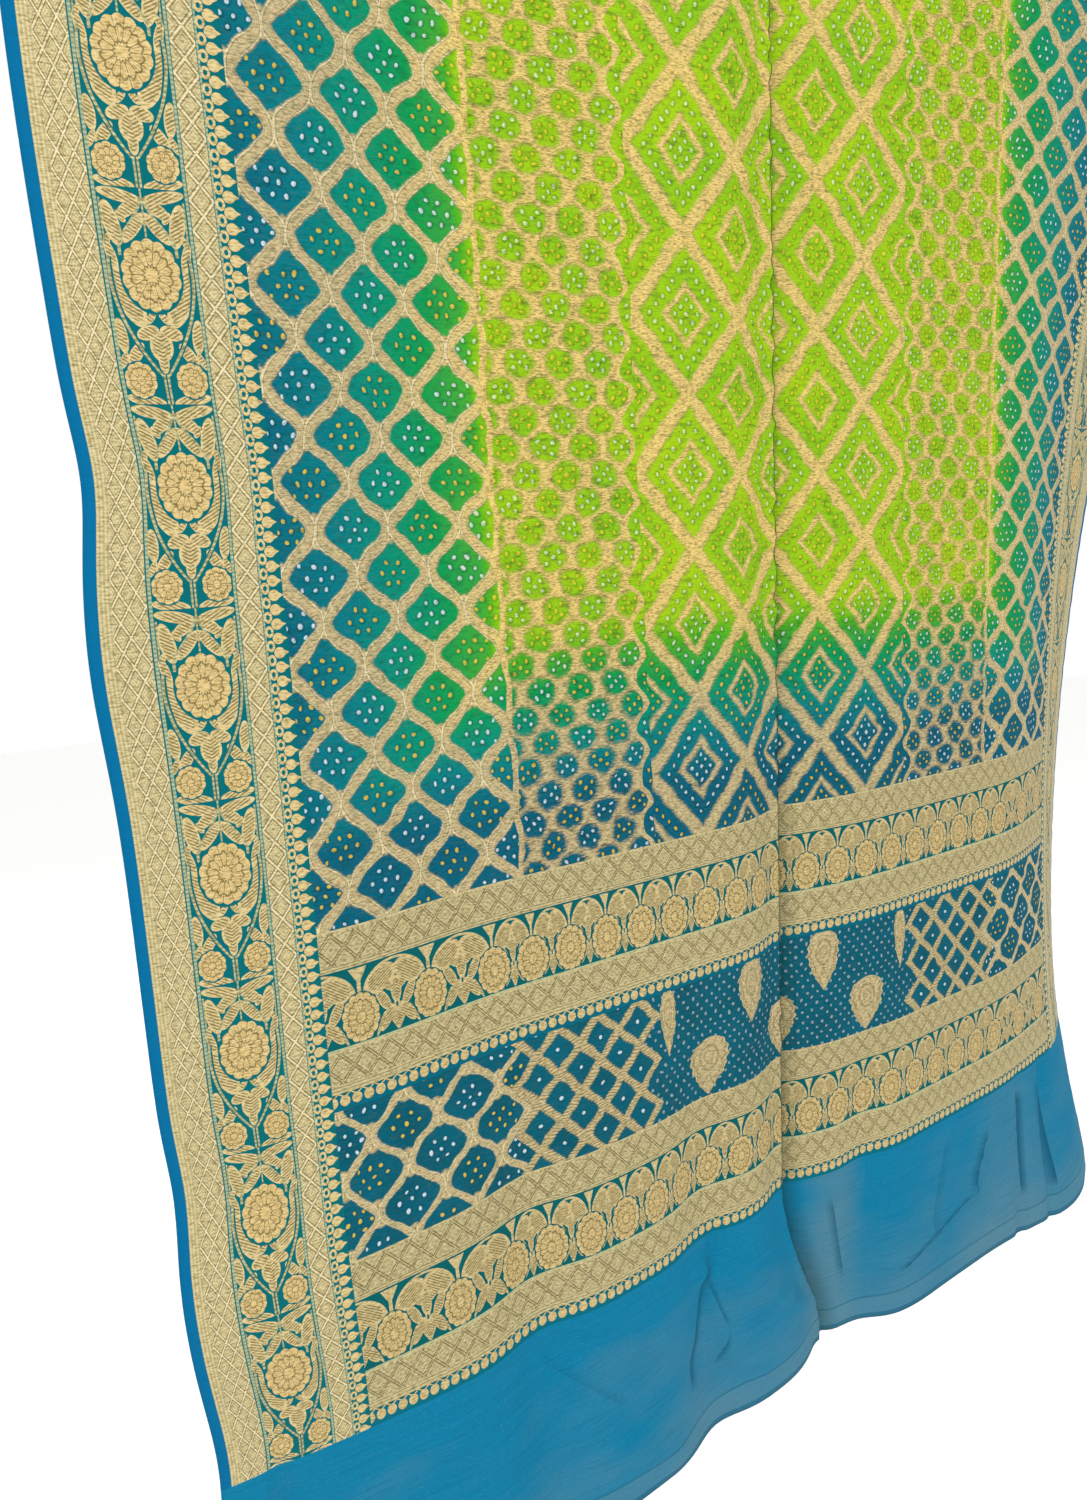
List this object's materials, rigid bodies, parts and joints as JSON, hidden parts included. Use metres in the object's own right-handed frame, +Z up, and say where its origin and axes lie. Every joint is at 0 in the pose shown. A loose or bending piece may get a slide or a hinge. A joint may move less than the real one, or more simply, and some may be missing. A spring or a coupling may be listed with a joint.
{
  "type": "bandhani cloth",
  "caption": "Hung bandhani cloth, a dupatta end with woven gold side borders, dotted lattice field, banded pallu and plain hem, creased down its middle",
  "frame": {"origin": "middle of the top edge, on the centre crease", "axes": "+X towards the right selvedge, -Y the way the face looks, +Z up"},
  "size_m": [0.9993, 0.1409, 1.2505],
  "materials": {
    "dyed_cloth": "crinkled tie-dyed cloth with woven gold figures, soft sheen"
  },
  "bodies": {
    "root": {"bandhani_cloth": "dyed_cloth"}
  },
  "joints": []
}
